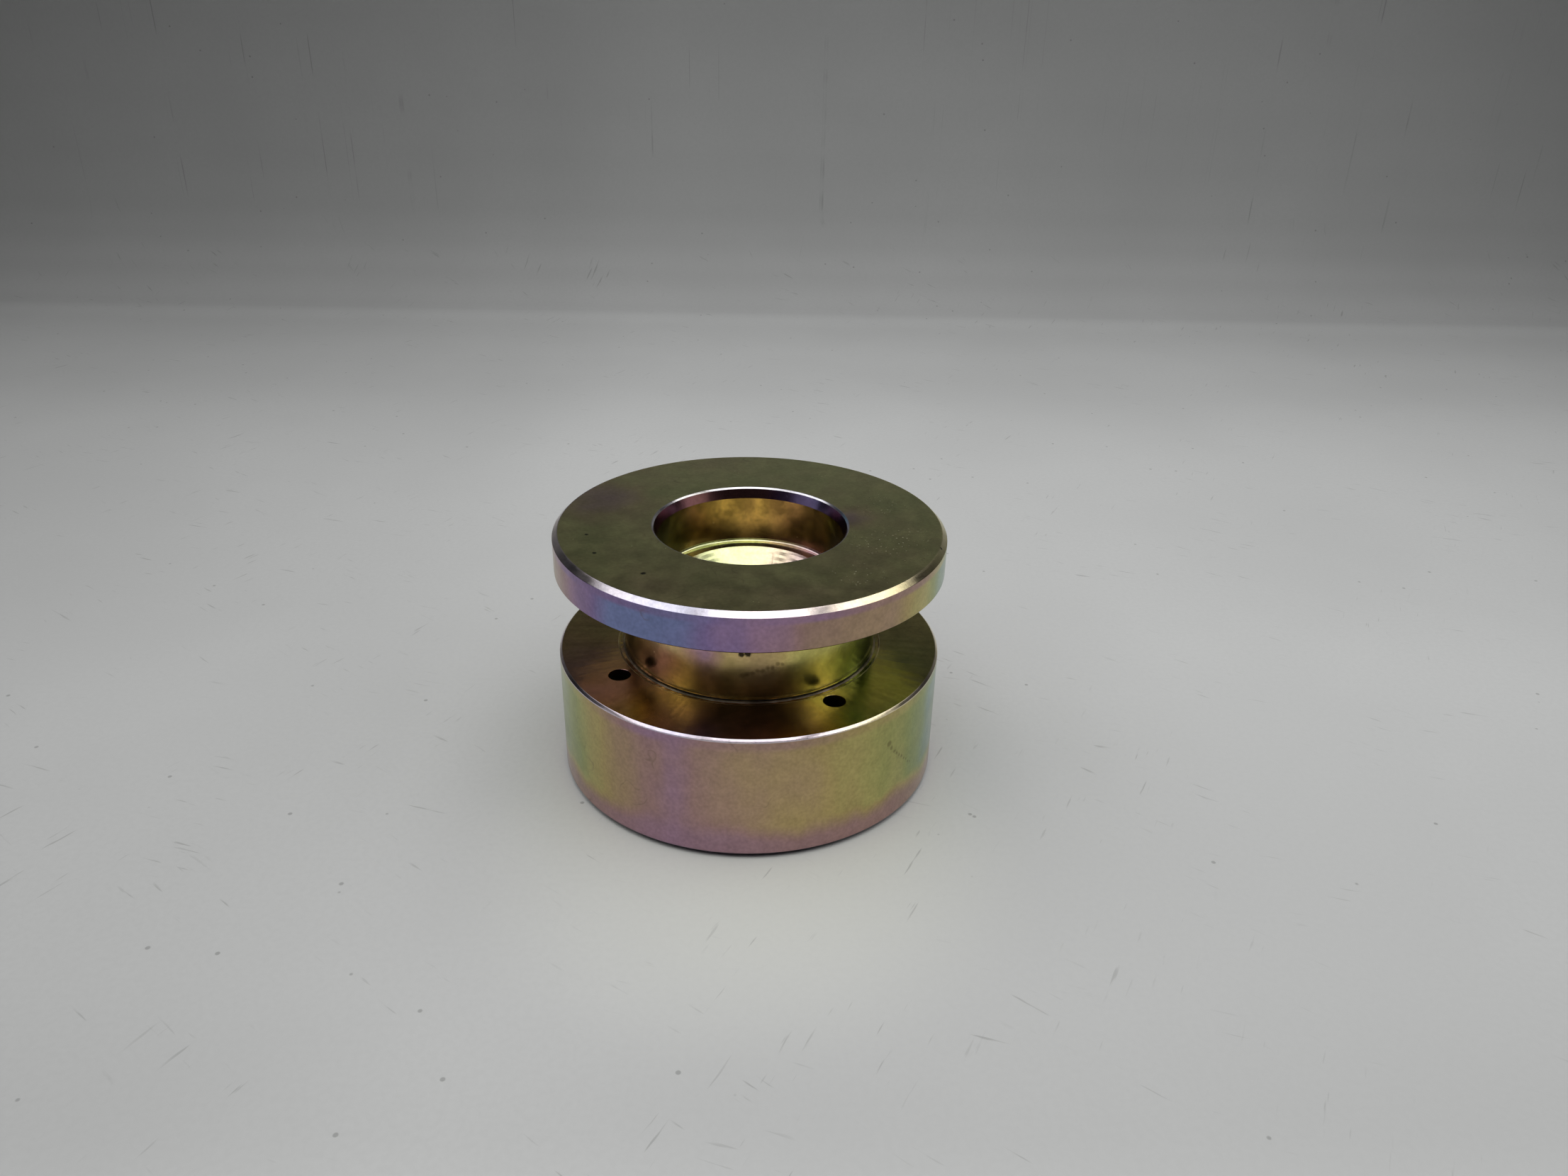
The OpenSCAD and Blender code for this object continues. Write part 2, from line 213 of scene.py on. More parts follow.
def weight_normals(piece: bpy.types.Object) -> None:
    """Keeps broad faces flat where they meet small roundings.

    Args:
        piece: the mesh object to shade.
    """
    modifier = piece.modifiers.new("weighted normals", "WEIGHTED_NORMAL")
    modifier.keep_sharp = True
    modifier.weight = 100


def drill(piece: bpy.types.Object, cutters: Sequence[bpy.types.Object]) -> None:
    """Cuts holes in a piece and removes the cutters.

    Args:
        piece: the mesh object to cut.
        cutters: closed mesh objects in the places of the holes.
    """
    for cutter in cutters:
        modifier = piece.modifiers.new("drill", "BOOLEAN")
        modifier.operation = "DIFFERENCE"
        modifier.solver = "EXACT"
        modifier.object = cutter
    depsgraph = bpy.context.evaluated_depsgraph_get()
    cut = bpy.data.meshes.new_from_object(piece.evaluated_get(depsgraph))
    piece.modifiers.clear()
    old = piece.data
    piece.data = cut
    bpy.data.meshes.remove(old)
    for cutter in cutters:
        bpy.data.objects.remove(cutter)
    smooth_with_sharp_edges(piece.data)


# --------------------------------------------------------------------------
# Materials
# --------------------------------------------------------------------------


class NodeBoard:
    """The node tree of one material, with short calls that add and link nodes."""

    def __init__(self, name: str) -> None:
        """Starts an empty material.

        Args:
            name: its name.
        """
        self.material = bpy.data.materials.new(name)
        self.material.use_nodes = True
        self.tree = self.material.node_tree
        self.tree.nodes.clear()
        self.place = self.add("ShaderNodeTexCoord").outputs["Object"]
        axes = self.add("ShaderNodeSeparateXYZ")
        self.join(self.place, axes.inputs[0])
        self.x, self.y, self.z = axes.outputs

    def add(self, kind: str, **settings: object) -> bpy.types.Node:
        """Adds a node.

        Args:
            kind: the node's type.
            settings: its properties.

        Returns:
            The node.
        """
        node = self.tree.nodes.new(kind)
        for key, value in settings.items():
            setattr(node, key, value)
        return node

    def join(self, source: bpy.types.NodeSocket, target: bpy.types.NodeSocket) -> None:
        """Links an output to an input.

        Args:
            source: the output.
            target: the input.
        """
        self.tree.links.new(source, target)

    def feed(self, socket: bpy.types.NodeSocket, value: object) -> None:
        """Sets an input, or links an output to it.

        Args:
            socket: the input.
            value: a number, a colour or an output.
        """
        if isinstance(value, bpy.types.NodeSocket):
            self.join(value, socket)
        elif isinstance(value, tuple) and len(value) == 3 and socket.type == "RGBA":
            socket.default_value = (*value, 1.0)
        else:
            socket.default_value = value

    def maths(self, operation: str, *values: object) -> bpy.types.NodeSocket:
        """Combines values with a Math node.

        Args:
            operation: the node's operation.
            values: one to three numbers or outputs.

        Returns:
            The result.
        """
        node = self.add("ShaderNodeMath", operation=operation)
        for socket, value in zip(node.inputs, values):
            self.feed(socket, value)
        return node.outputs[0]

    def spread(
        self, value: bpy.types.NodeSocket, low: float, high: float, to_low: float = 0.0, to_high: float = 1.0
    ) -> bpy.types.NodeSocket:
        """Maps a value from one range to another, smoothly, and clamps it.

        Args:
            value: the value to map.
            low: the input that gives to_low.
            high: the input that gives to_high.
            to_low: the lowest result.
            to_high: the highest result.

        Returns:
            The mapped value.
        """
        node = self.add("ShaderNodeMapRange", interpolation_type="SMOOTHSTEP")
        for socket, number in zip(node.inputs, (value, low, high, to_low, to_high)):
            self.feed(socket, number)
        return node.outputs[0]

    def clouds(
        self, size: float, detail: float = 3.0, shift: float = 0.0, squash: float = 1.0
    ) -> bpy.types.NodeSocket:
        """Soft noise between 0 and 1 in object space.

        Args:
            size: width of one cloud, in metres.
            detail: number of finer layers.
            shift: offset that gives another pattern.
            squash: how much narrower the clouds are along Z.

        Returns:
            The noise value.
        """
        stretch = self.add("ShaderNodeMapping")
        stretch.inputs["Location"].default_value = (shift, shift * 0.7, shift * 1.3)
        stretch.inputs["Scale"].default_value = (1 / size, 1 / size, squash / size)
        self.join(self.place, stretch.inputs[0])
        node = self.add("ShaderNodeTexNoise")
        node.inputs["Scale"].default_value = 1.0
        node.inputs["Detail"].default_value = detail
        self.join(stretch.outputs[0], node.inputs["Vector"])
        return node.outputs[0]

    def specks(self, size: float, share: float, shift: float = 0.0) -> bpy.types.NodeSocket:
        """Sparse round specks: 1 on a speck and 0 elsewhere.

        Args:
            size: spacing of the specks, in metres.
            share: radius of a speck as a share of the spacing.
            shift: offset that gives another pattern.

        Returns:
            The mask of the specks.
        """
        stretch = self.add("ShaderNodeMapping")
        stretch.inputs["Location"].default_value = (shift, shift, shift)
        self.join(self.place, stretch.inputs[0])
        node = self.add("ShaderNodeTexVoronoi")
        node.inputs["Scale"].default_value = 1 / size
        self.join(stretch.outputs[0], node.inputs["Vector"])
        return self.spread(node.outputs["Distance"], share, share * 0.6)

    def ramp(
        self, value: object, stops: Sequence[tuple[float, Colour]], mode: str = "B_SPLINE"
    ) -> bpy.types.NodeSocket:
        """A colour ramp.

        Args:
            value: where on the ramp, from 0 to 1.
            stops: places and colours in rising order.
            mode: how colours blend between stops.

        Returns:
            The colour.
        """
        node = self.add("ShaderNodeValToRGB")
        scale = node.color_ramp
        scale.interpolation = mode
        scale.elements[0].position, scale.elements[0].color = stops[0][0], (*stops[0][1], 1)
        scale.elements[1].position, scale.elements[1].color = stops[-1][0], (*stops[-1][1], 1)
        for position, colour in stops[1:-1]:
            scale.elements.new(position).color = (*colour, 1)
        self.feed(node.inputs[0], value)
        return node.outputs[0]

    def blend(self, share: object, first: object, second: object, mode: str = "MIX") -> bpy.types.NodeSocket:
        """Mixes two colours.

        Args:
            share: how much of the second colour, from 0 to 1.
            first: the first colour.
            second: the second colour.
            mode: the blend mode.

        Returns:
            The mixed colour.
        """
        node = self.add("ShaderNodeMix", data_type="RGBA", blend_type=mode)
        self.feed(node.inputs["Factor"], share)
        self.feed(node.inputs[6], first)
        self.feed(node.inputs[7], second)
        return node.outputs[2]

    def azimuth(self) -> bpy.types.NodeSocket:
        """Angle around the axis: 0.5 at the front, 0.75 at the right, 0.25 at the left."""
        angle = self.maths("ARCTAN2", self.x, self.maths("MULTIPLY", self.y, -1.0))
        return self.maths("MULTIPLY_ADD", angle, 0.5 / math.pi, 0.5)

    def radius(self) -> bpy.types.NodeSocket:
        """Distance from the turning axis, in metres."""
        squares = self.maths("MULTIPLY_ADD", self.x, self.x, self.maths("MULTIPLY", self.y, self.y))
        return self.maths("SQRT", squares)

    def bump(
        self, height: object, distance: float, strength: float = 1.0, below: object = None
    ) -> bpy.types.NodeSocket:
        """A bumped normal.

        Args:
            height: the height pattern.
            distance: height of the pattern, in metres.
            strength: how strongly it shows.
            below: a normal from an earlier bump.

        Returns:
            The normal.
        """
        node = self.add("ShaderNodeBump")
        node.inputs["Distance"].default_value = distance
        node.inputs["Strength"].default_value = strength
        self.feed(node.inputs["Height"], height)
        if below is not None:
            self.feed(node.inputs["Normal"], below)
        return node.outputs[0]

    def surface(self, settings: dict[str, object]) -> bpy.types.Material:
        """Finishes the material with one surface shader.

        Args:
            settings: input names and their numbers, colours or outputs.

        Returns:
            The material.
        """
        shader = self.add("ShaderNodeBsdfPrincipled")
        for key, value in settings.items():
            self.feed(shader.inputs[key], value)
        output = self.add("ShaderNodeOutputMaterial")
        self.join(shader.outputs[0], output.inputs[0])
        return self.material


class Film(Enum):
    """Colours that the chromate film shows as it thickens, with their places on its scale."""

    BLUE = (0.0, (0.22, 0.26, 0.48))
    VIOLET = (0.12, (0.26, 0.19, 0.38))
    LILAC = (0.26, (0.37, 0.23, 0.35))
    ROSE = (0.38, (0.40, 0.25, 0.24))
    TAN = (0.50, (0.44, 0.31, 0.19))
    GOLD = (0.60, (0.48, 0.37, 0.16))
    STRAW = (0.68, (0.48, 0.43, 0.16))
    OLIVE = (0.78, (0.36, 0.39, 0.13))
    GREEN = (0.87, (0.30, 0.38, 0.17))
    TEAL = (0.94, (0.24, 0.36, 0.30))
    SLATE = (1.0, (0.17, 0.27, 0.42))


@dataclass(frozen=True)
class Spot:
    """A small mark on a turned surface.

    Args:
        angle: degrees around the axis from the front, positive to the right.
        radius: distance from the axis, in millimetres.
        height: height above the base, in millimetres.
        size: radius of the mark, in millimetres.
    """

    angle: float
    radius: float
    height: float
    size: float

    def centre(self) -> tuple[float, float, float]:
        """The mark's centre in metres."""
        turn = math.radians(self.angle)
        across = self.radius * MM
        return across * math.sin(turn), -across * math.cos(turn), self.height * MM


def trail(start: Spot, end: Spot, count: int) -> tuple[Spot, ...]:
    """Small marks in a row, as a dried run of rinse water leaves them.

    Args:
        start: the first mark.
        end: the last mark.
        count: number of marks.

    Returns:
        The marks, evenly spaced from the first to the last.
    """
    row = []
    for index in range(count):
        share = index / (count - 1)
        bend = math.sin(3.0 * index) * start.size * 0.4
        row.append(
            Spot(
                start.angle + (end.angle - start.angle) * share,
                start.radius + (end.radius - start.radius) * share,
                start.height + (end.height - start.height) * share + bend,
                start.size + (end.size - start.size) * share,
            )
        )
    return tuple(row)


@dataclass(frozen=True)
class Zone:
    """A part of a turned surface where the film has its own thickness.

    Args:
        radius: lowest and highest radius of the zone, in millimetres.
        height: lowest and highest height of the zone, in millimetres.
        film: film thickness from 0 to 1 against the angle from the front, in degrees.
        tint: factor on the film colour.
        edge: width of the soft edge, in millimetres.
        patchy: how much darker the blotches in the zone are, from 0 to 1.
        rough: added roughness.
    """

    radius: tuple[float, float]
    height: tuple[float, float]
    film: Stops
    tint: Colour = (1.0, 1.0, 1.0)
    edge: float = 0.15
    patchy: float = 0.0
    rough: float = 0.0

    def mask(self, board: NodeBoard) -> bpy.types.NodeSocket:
        """Where the zone is.

        Args:
            board: the material's node board.

        Returns:
            The mask, from 0 to 1.
        """
        parts = []
        for value, limits in ((board.radius(), self.radius), (board.z, self.height)):
            low, high = limits
            parts.append(board.spread(value, (low - self.edge) * MM, low * MM))
            parts.append(board.spread(value, high * MM, (high + self.edge) * MM, 1.0, 0.0))
        whole = board.maths("MULTIPLY", parts[0], parts[1])
        return board.maths("MULTIPLY", whole, board.maths("MULTIPLY", parts[2], parts[3]))


DRIED_WATER: Colour = (0.16, 0.12, 0.08)
STAIN: Colour = (0.12, 0.08, 0.03)
PIT: Colour = (0.01, 0.009, 0.006)
FLECK: Colour = (0.75, 0.72, 0.55)


@dataclass(frozen=True)
class ChromateFinish:
    """Satin zinc plating under an iridescent yellow chromate film.

    Args:
        name: name of the material.
        rim: film thickness on the outer diameter.
        zones: other parts of the surface.
        foot: height below which the rim's film thins, in millimetres.
        foot_film: film thickness there.
        foot_share: how far the film goes to that thickness, from 0 to 1.
        foot_drift: how far the foot's upper edge wanders, in millimetres.
        roughness: mean roughness.
        pits: small dark pits.
        stains: soft dark stains.
        blushes: broad patches where the film is thinner.
        flecks: areas with fine pale flecks.
    """

    name: str
    rim: Stops
    zones: tuple[Zone, ...] = ()
    foot: float = 0.0
    foot_film: float = 0.27
    foot_share: float = 0.75
    foot_drift: float = 26.0
    roughness: float = 0.2
    pits: tuple[Spot, ...] = ()
    stains: tuple[Spot, ...] = ()
    blushes: tuple[Spot, ...] = ()
    flecks: tuple[Spot, ...] = ()

    def make(self) -> bpy.types.Material:
        """Builds the material."""
        board = NodeBoard(self.name)
        drift = self.drift(board)
        for spot in self.blushes:
            drift = board.maths("SUBTRACT", drift, self.mark(board, spot, 0.2, 0.0))
        thinner = board.spread(
            board.maths("MULTIPLY_ADD", drift, self.foot_drift * MM, board.z),
            (self.foot + 3) * MM,
            (self.foot - 2) * MM,
        )
        thick = board.maths("ADD", self.around(board, self.rim), drift)
        pull = board.maths("SUBTRACT", self.foot_film, thick)
        thick = board.maths("MULTIPLY_ADD", pull, board.maths("MULTIPLY", thinner, self.foot_share), thick)
        colour = self.shade(board, thick)
        added: object = 0.0
        for zone in self.zones:
            local = board.maths("ADD", self.around(board, zone.film), drift)
            tinted = board.blend(1.0, self.shade(board, local), zone.tint, "MULTIPLY")
            if zone.patchy > 0:
                blotch = board.spread(board.clouds(5 * MM, 5.0, 2.3), 0.35, 0.62, 1.0, 1.0 - zone.patchy)
                tinted = board.blend(1.0, tinted, self.grey(board, blotch), "MULTIPLY")
            where = zone.mask(board)
            colour = board.blend(where, colour, tinted)
            added = board.maths("MULTIPLY_ADD", where, zone.rough, added)
        mottle = board.spread(board.clouds(2.6 * MM, 5.0, 1.7), 0.25, 0.75, 0.93, 1.06)
        grain = board.spread(board.clouds(0.7 * MM, 3.0, 2.9), 0.25, 0.75, 0.90, 1.09)
        tone = board.maths("MULTIPLY", mottle, grain)
        colour = board.blend(1.0, colour, self.grey(board, tone), "MULTIPLY")
        colour = board.blend(self.tide_line(board), colour, DRIED_WATER)
        for spot in self.stains:
            colour = board.blend(self.mark(board, spot, 0.5), colour, STAIN)
        for spot in self.pits:
            colour = board.blend(self.mark(board, spot, 0.95), colour, PIT)
        fleck = self.fleck_mask(board)
        colour = board.blend(fleck, colour, FLECK)
        cloudy = board.spread(
            board.clouds(6 * MM, 4.0, 7.7), 0.3, 0.7, self.roughness - 0.03, self.roughness + 0.04
        )
        cloudy = board.maths("ADD", board.maths("MULTIPLY_ADD", fleck, 0.3, cloudy), added)
        fine = board.bump(board.clouds(0.45 * MM, 3.0, 5.1), 0.002 * MM, 0.6)
        return board.surface({"Base Color": colour, "Metallic": 1.0, "Roughness": cloudy, "Normal": fine})

    def drift(self, board: NodeBoard) -> bpy.types.NodeSocket:
        """Slow change of the film thickness, in broad clouds with streaks down the wall."""
        broad = board.maths("SUBTRACT", board.clouds(17 * MM, 2.0, 0.31), 0.5)
        streaks = board.maths("SUBTRACT", board.clouds(4.5 * MM, 3.0, 5.6, 0.25), 0.5)
        return board.maths("MULTIPLY_ADD", streaks, 0.07, board.maths("MULTIPLY", broad, 0.2))

    def around(self, board: NodeBoard, film: Sequence[tuple[float, float]]) -> bpy.types.NodeSocket:
        """Film thickness as it goes around the axis.

        Args:
            board: the material's node board.
            film: angles from the front, in degrees, and film thicknesses.

        Returns:
            The thickness, from 0 to 1.
        """
        stops = [(0.5 + angle / 360, (value, value, value)) for angle, value in film]
        return board.ramp(board.azimuth(), stops, "EASE")

    def shade(self, board: NodeBoard, thickness: bpy.types.NodeSocket) -> bpy.types.NodeSocket:
        """Colour of the film.

        Args:
            board: the material's node board.
            thickness: the film's thickness, from 0 to 1.

        Returns:
            The colour.
        """
        return board.ramp(thickness, [film.value for film in Film], "LINEAR")

    def tide_line(self, board: NodeBoard) -> bpy.types.NodeSocket:
        """Thin broken lines where rinse water dried."""
        level = board.maths("ABSOLUTE", board.maths("SUBTRACT", board.clouds(15 * MM, 2.5, 9.4), 0.57))
        line = board.spread(level, 0.0, 0.006, 1.0, 0.0)
        broken = board.spread(board.clouds(9 * MM, 2.0, 3.3), 0.52, 0.62)
        return board.maths("MULTIPLY", board.maths("MULTIPLY", line, broken), 0.35)

    def fleck_mask(self, board: NodeBoard) -> bpy.types.NodeSocket:
        """Fine pale flecks, close together in the chosen areas and rare elsewhere."""
        sparse = board.maths("MULTIPLY", board.specks(2.6 * MM, 0.06, 0.02), 0.12)
        dense = board.specks(1.0 * MM, 0.2, 0.01)
        for spot in self.flecks:
            near = self.mark(board, spot, 0.6, 0.2)
            sparse = board.maths("MAXIMUM", sparse, board.maths("MULTIPLY", dense, near))
        return sparse

    def grey(self, board: NodeBoard, value: bpy.types.NodeSocket) -> bpy.types.NodeSocket:
        """A grey colour.

        Args:
            board: the material's node board.
            value: its brightness.

        Returns:
            The colour.
        """
        node = board.add("ShaderNodeCombineColor")
        for socket in node.inputs:
            board.join(value, socket)
        return node.outputs[0]

    def mark(self, board: NodeBoard, spot: Spot, strength: float, core: float = 0.45) -> bpy.types.NodeSocket:
        """One mark with a ragged edge.

        Args:
            board: the material's node board.
            spot: the mark.
            strength: how strongly it shows.
            core: how much of its size shows fully, from 0 to 1.

        Returns:
            The mask.
        """
        away = board.add("ShaderNodeVectorMath", operation="DISTANCE")
        board.join(board.place, away.inputs[0])
        away.inputs[1].default_value = spot.centre()
        cloud = board.maths("SUBTRACT", board.clouds(spot.size * MM, 3.0, spot.angle), 0.5)
        ragged = board.maths("MULTIPLY_ADD", cloud, spot.size * MM, away.outputs["Value"])
        return board.spread(ragged, spot.size * core * MM, spot.size * MM, strength, 0.0)


@dataclass(frozen=True)
class SteelFinish:
    """Bare turned or ground steel.

    Args:
        name: name of the material.
        tint: base colour.
        roughness: mean roughness.
        groove: pitch of the turning marks, in millimetres.
    """

    name: str
    tint: Colour
    roughness: float = 0.3
    groove: float = 0.2

    def make(self) -> bpy.types.Material:
        """Builds the material."""
        board = NodeBoard(self.name)
        cloud = board.clouds(4 * MM, 4.0, 1.1)
        dark = tuple(0.82 * value for value in self.tint)
        colour = board.blend(board.spread(cloud, 0.3, 0.7), self.tint, dark)
        rough = board.spread(
            board.clouds(2 * MM, 3.0, 3.4), 0.3, 0.7, self.roughness - 0.05, self.roughness + 0.08
        )
        along = board.maths("ADD", board.z, board.radius())
        wave = board.maths("SINE", board.maths("MULTIPLY", along, 2 * math.pi / (self.groove * MM)))
        fine = board.bump(board.clouds(0.3 * MM, 3.0, 2.2), 0.003 * MM, 0.6)
        marks = board.bump(wave, 0.0015 * MM, 0.6, fine)
        return board.surface({"Base Color": colour, "Metallic": 1.0, "Roughness": rough, "Normal": marks})


@dataclass(frozen=True)
class GraphiteFinish:
    """Pressed graphite gasket sheet.

    Args:
        name: name of the material.
    """

    name: str = "graphite"

    def make(self) -> bpy.types.Material:
        """Builds the material."""
        board = NodeBoard(self.name)
        flakes = board.clouds(0.5 * MM, 4.0, 0.6)
        colour = board.ramp(flakes, [(0.3, (0.035, 0.035, 0.038)), (0.7, (0.11, 0.11, 0.12))], "EASE")
        normal = board.bump(flakes, 0.02 * MM, 0.6)
        rough = board.spread(flakes, 0.2, 0.8, 0.42, 0.62)
        return board.surface({"Base Color": colour, "Roughness": rough, "Normal": normal})


@dataclass(frozen=True)
class TableFinish:
    """Pale painted board with fine specks and faint scratches, with painted shade graded over it and a
    painted glow in front of the part.

    Args:
        name: name of the material.
        tone: base colour.
        climb: height over which the backdrop darkens with painted shade, in metres.
        rise: grey of the backdrop from its foot to its top, painted shade of the lamps' falloff.
        depth: grey of the board from front to back, painted light and shade of the lamps' falloff.
        width: grey of the board from left to right, painted shade of the lamps' falloff.
        painted_glow: factor on the colour of the paler patch in front of the part, a painted glow of the
            light that the part throws on the board.
        speck: colour of the specks.
        scratch: colour of the scratches.
    """

    name: str = "pale_board"
    tone: Colour = (0.92, 0.93, 0.92)
    climb: float = 0.39
    rise: Stops = (
        (0.0, 1.0), (0.01, 0.76), (0.05, 0.62), (0.09, 0.535), (0.13, 0.50),
        (0.2, 0.456), (0.27, 0.43), (0.37, 0.40), (0.6, 0.30), (1.0, 0.17),
    )
    depth: Stops = (
        (0.0, 0.75), (0.05, 0.68), (0.1, 0.60), (0.17, 0.62), (0.4, 0.69), (0.82, 0.90), (0.98, 1.0),
    )
    width: Stops = (
        (0.1, 0.85), (0.26, 0.84), (0.38, 0.90), (0.46, 1.0), (0.62, 1.0), (0.72, 1.0), (0.95, 1.0),
    )
    painted_glow: Colour = (1.3, 1.31, 1.24)
    speck: Colour = (0.2, 0.2, 0.19)
    scratch: Colour = (0.3, 0.3, 0.29)

    def make(self) -> bpy.types.Material:
        """Builds the material."""
        board = NodeBoard(self.name)
        broad = board.spread(board.clouds(90 * MM, 3.0, 0.2), 0.3, 0.7)
        dusty = tuple(0.95 * value for value in self.tone)
        colour = board.blend(broad, self.tone, dusty)
        fine = board.spread(board.clouds(1.2 * MM, 3.0, 3.1), 0.3, 0.75, 0.0, 0.35)
        colour = board.blend(fine, colour, tuple(0.9 * value for value in self.tone))
        # Painted light: the paler patch in front of the part stands in for the glow that the part's side
        # throws onto the board.
        colour = board.blend(self.painted_glow_mask(board), colour, self.painted_glow, "MULTIPLY")
        dots = board.specks(11 * MM, 0.05, 0.4)
        colour = board.blend(board.maths("MULTIPLY", dots, 0.45), colour, self.speck)
        for turn, shift in ((0.5, 0.3), (-0.9, 1.7), (1.9, 3.1)):
            colour = board.blend(self.scratches(board, turn, shift), colour, self.scratch)
        # Painted shade: the backdrop darkens towards its top, and the board is greyed from front to back and
        # from left to right, as the lamps' light falls off.
        up = board.maths("MULTIPLY", board.z, 1 / self.climb)
        shade = board.ramp(up, self.greys(self.rise), "EASE")
        colour = board.blend(1.0, colour, shade, "MULTIPLY")
        along = board.maths("MULTIPLY_ADD", board.y, 2.0, 0.3)
        colour = board.blend(1.0, colour, board.ramp(along, self.greys(self.depth), "EASE"), "MULTIPLY")
        across = board.maths("MULTIPLY_ADD", board.x, 1.0, 0.5)
        colour = board.blend(1.0, colour, board.ramp(across, self.greys(self.width), "EASE"), "MULTIPLY")
        normal = board.bump(board.clouds(0.9 * MM, 3.0, 6.3), 0.02 * MM, 0.5)
        return board.surface({"Base Color": colour, "Roughness": 0.62, "Normal": normal})

    def painted_glow_mask(self, board: NodeBoard) -> bpy.types.NodeSocket:
        """Mask of the paler patch of the board in front of the part, painted light that stands in for the
        glow the part throws on it.
        """
        away = board.add("ShaderNodeVectorMath", operation="DISTANCE")
        board.join(board.place, away.inputs[0])
        away.inputs[1].default_value = (0.0, -0.035, 0.0)
        return board.spread(away.outputs["Value"], 0.008, 0.062, 1.0, 0.0)

    def scratches(self, board: NodeBoard, turn: float, shift: float) -> bpy.types.NodeSocket:
        """Mask of faint scratches in one direction.

        Args:
            board: the material's node board.
            turn: direction of the scratches, in radians.
            shift: offset that gives another pattern.

        Returns:
            The mask.
        """
        aim = board.add("ShaderNodeMapping")
        aim.inputs["Rotation"].default_value = (0.0, 0.0, turn)
        board.join(board.place, aim.inputs[0])
        stretch = board.add("ShaderNodeMapping")
        stretch.inputs["Location"].default_value = (shift, shift, 0.0)
        stretch.inputs["Scale"].default_value = (1 / (1.1 * MM), 1 / (12 * MM), 1.0)
        board.join(aim.outputs[0], stretch.inputs[0])
        streak = board.add("ShaderNodeTexNoise")
        streak.inputs["Scale"].default_value = 1.0
        streak.inputs["Detail"].default_value = 2.0
        board.join(stretch.outputs[0], streak.inputs["Vector"])
        thin = board.spread(streak.outputs[0], 0.66, 0.74)
        rare = board.spread(board.clouds(30 * MM, 2.0, shift), 0.52, 0.66)
        return board.maths("MULTIPLY", board.maths("MULTIPLY", thin, rare), 0.4)

    def greys(self, stops: Stops) -> list[tuple[float, Colour]]:
        """Grey colours at the places of a ramp.

        Args:
            stops: places on the ramp and how bright each is.

        Returns:
            The places with their colours.
        """
        return [(place, (grey, grey, grey)) for place, grey in stops]


# --------------------------------------------------------------------------
# Sub-assemblies
# --------------------------------------------------------------------------


def dress(node: str, material: bpy.types.Material) -> None:
    """Gives a CAD node a material and smooth shading.

    Args:
        node: the CAD node.
        material: its material.
    """
    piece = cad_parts[node]
    piece.data.materials.clear()
    piece.data.materials.append(material)
    smooth_with_sharp_edges(piece.data)
    LOG.info("dressed %s with %s", node, material.name)


def stand_for(piece: bpy.types.Object, node: str, body: str, material: bpy.types.Material) -> None:
    """Puts a detailed piece in the place of a CAD node.

    Args:
        piece: the detailed piece.
        node: the CAD node that it replaces.
        body: the body that it rides on.
        material: its material.
    """
    piece.data.materials.clear()
    piece.data.materials.append(material)
    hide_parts(node)
    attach(piece, body)
    LOG.info("built %s with %d faces for %s", piece.name, len(piece.data.polygons), node)


